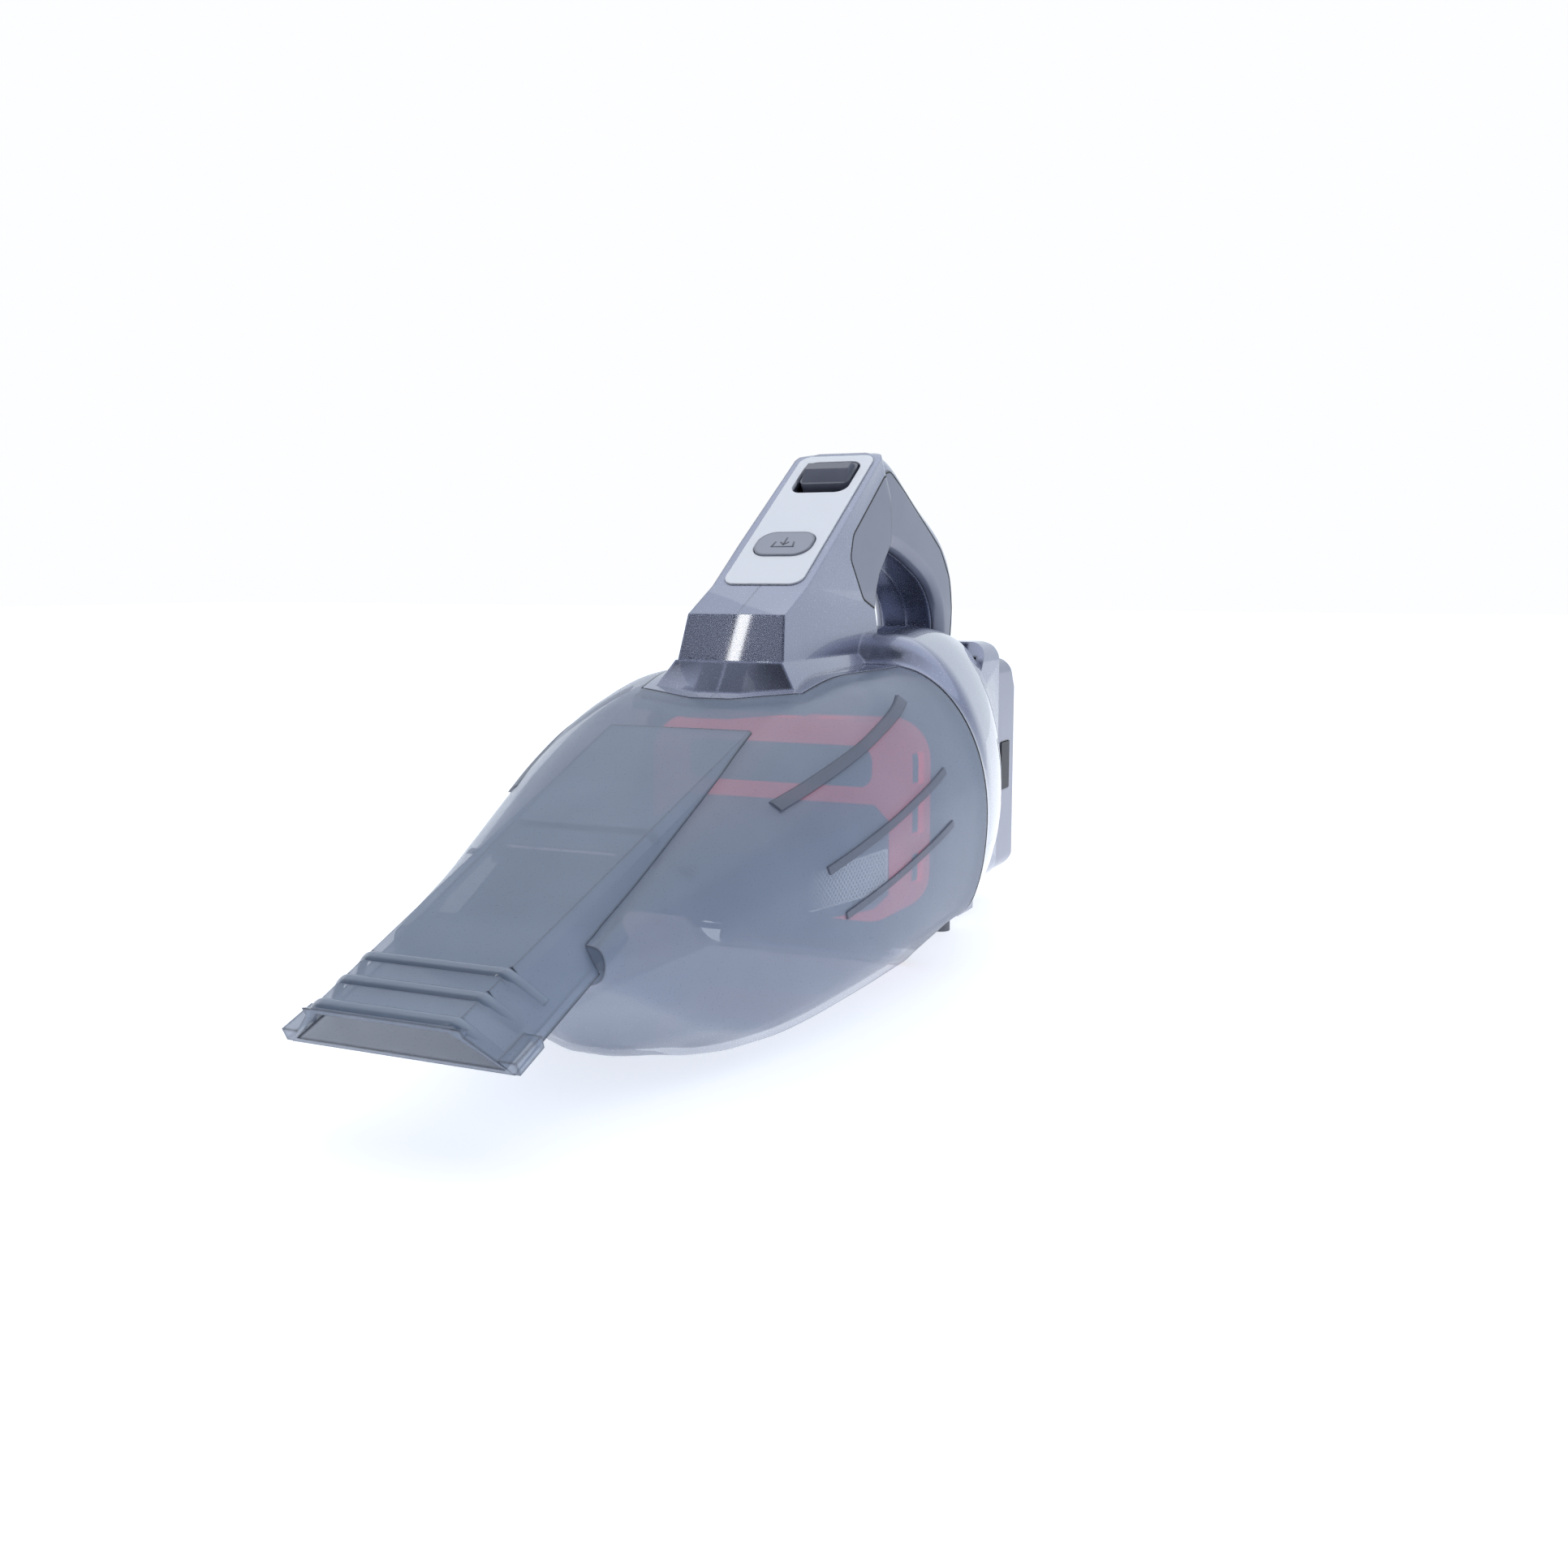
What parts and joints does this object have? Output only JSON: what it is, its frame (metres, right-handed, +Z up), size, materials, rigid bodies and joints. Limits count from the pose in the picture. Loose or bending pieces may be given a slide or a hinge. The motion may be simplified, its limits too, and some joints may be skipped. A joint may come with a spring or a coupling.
{
  "type": "handheld vacuum cleaner",
  "caption": "Cordless handheld vacuum with a smoky swing-down dust bowl, wedge nozzle, loop handle, thumb switch and slide-off battery.",
  "frame": {"origin": "middle of the footprint on the floor, under the belly", "axes": "+Z up, the nozzle points to -Y, +X to the vacuum's left when seen from behind it"},
  "size_m": [0.1549, 0.42, 0.2023],
  "materials": {
    "smoke_plastic": "smoky see-through moulding, satin",
    "rib_plastic": "dark overmoulded ribs",
    "flap_rubber": "matt",
    "housing_gloss": "gloss dark grey with fine metallic flake",
    "soft_grip": "soft matt overmould",
    "steel": "plain",
    "black_plastic": "matt",
    "seal_rubber": "matt",
    "control_silver": "pale satin silver paint",
    "button_grey": "satin",
    "slider_dark": "grained",
    "filter_red": "gloss",
    "screen_mesh": "fine moulded mesh",
    "filter_paper": "pleated paper",
    "motor_steel": "zinc plated",
    "bronze": "sintered",
    "magnet": "ferrite",
    "board_green": "solder mask",
    "battery_grey": "fine grain",
    "catch_dark": "grained",
    "cell_wrap": "shrink wrap",
    "contact_brass": "plated",
    "foot_rubber": "matt",
    "skid_pale": "satin"
  },
  "bodies": {
    "housing": {"housing_left": "housing_gloss", "housing_right": "housing_gloss", "lower_cover": "housing_gloss", "grip_left": "soft_grip", "grip_right": "soft_grip", "housing_screws": "steel", "front_bulkhead": "black_plastic", "bowl_seal": "seal_rubber", "control_plate": "control_silver", "switch_body": "black_plastic", "latch_pin": "steel", "filter_frame": "filter_red", "prefilter_screen": "screen_mesh", "pleated_filter": "filter_paper", "fan_shroud": "black_plastic", "diffuser": "black_plastic", "motor_can": "motor_steel", "front_bush": "bronze", "motor_magnets": "magnet", "end_bell": "black_plastic", "motor_mount": "seal_rubber", "motor_cradle": "black_plastic", "circuit_board": "board_green", "terminal_block": "black_plastic", "hinge_pin": "steel", "rear_feet": "foot_rubber", "belly_skid": "skid_pale"},
    "bowl": {"dust_bowl": "smoke_plastic", "nozzle": "smoke_plastic", "bowl_ribs": "rib_plastic", "flap_pin": "steel"},
    "flap": {"inlet_flap": "flap_rubber"},
    "slider": {"power_slider": "slider_dark"},
    "button": {"empty_button": "button_grey"},
    "latch": {"latch_lever": "black_plastic"},
    "battery": {"battery_shell": "battery_grey", "battery_cells": "cell_wrap", "battery_contacts": "contact_brass"},
    "right_catch": {"catch_right": "catch_dark"},
    "left_catch": {"catch_left": "catch_dark"},
    "fan": {"fan_impeller": "black_plastic", "motor_shaft": "steel", "armature": "motor_steel"}
  },
  "joints": [
    {"name": "bowl_hinge", "type": "hinge", "parent": "housing", "child": "bowl", "pos_m": [0, 0.0562, 0.0036], "axis": [1, 0, 0], "range_deg": [0, 75]},
    {"name": "flap_hinge", "type": "hinge", "parent": "bowl", "child": "flap", "pos_m": [0, -0.1145, 0.06579], "axis": [1, 0, 0], "range_deg": [0, 40], "stiffness_Nm_per_rad": 0.002, "springref_deg": -34.38},
    {"name": "power_slide", "type": "slide", "parent": "housing", "child": "slider", "axis": [0, -0.8211, -0.5707], "range_m": [0, 0.0055]},
    {"name": "empty_press", "type": "slide", "parent": "housing", "child": "button", "axis": [0, 0.5707, -0.8211], "range_m": [0, 0.003], "stiffness_N_per_m": 500},
    {"name": "latch_rock", "type": "hinge", "parent": "housing", "child": "latch", "pos_m": [0, 0.034, 0.127], "axis": [-1, 0, 0], "range_deg": [0, 9]},
    {"name": "battery_slide", "type": "slide", "parent": "housing", "child": "battery", "axis": [0, 1, 0], "range_m": [0, 0.06]},
    {"name": "catch_right_press", "type": "slide", "parent": "battery", "child": "right_catch", "axis": [-1, 0, 0], "range_m": [0, 0.002], "stiffness_N_per_m": 400},
    {"name": "catch_left_press", "type": "slide", "parent": "battery", "child": "left_catch", "axis": [1, 0, 0], "range_m": [0, 0.002], "stiffness_N_per_m": 400},
    {"name": "fan_spin", "type": "hinge", "parent": "housing", "child": "fan", "pos_m": [0, 0.07, 0.064], "axis": [0, 1, 0], "continuous": true}
  ],
  "couplings": [
    {"joint": "latch_rock", "follows": "empty_press", "rad_per_m": 48}
  ]
}
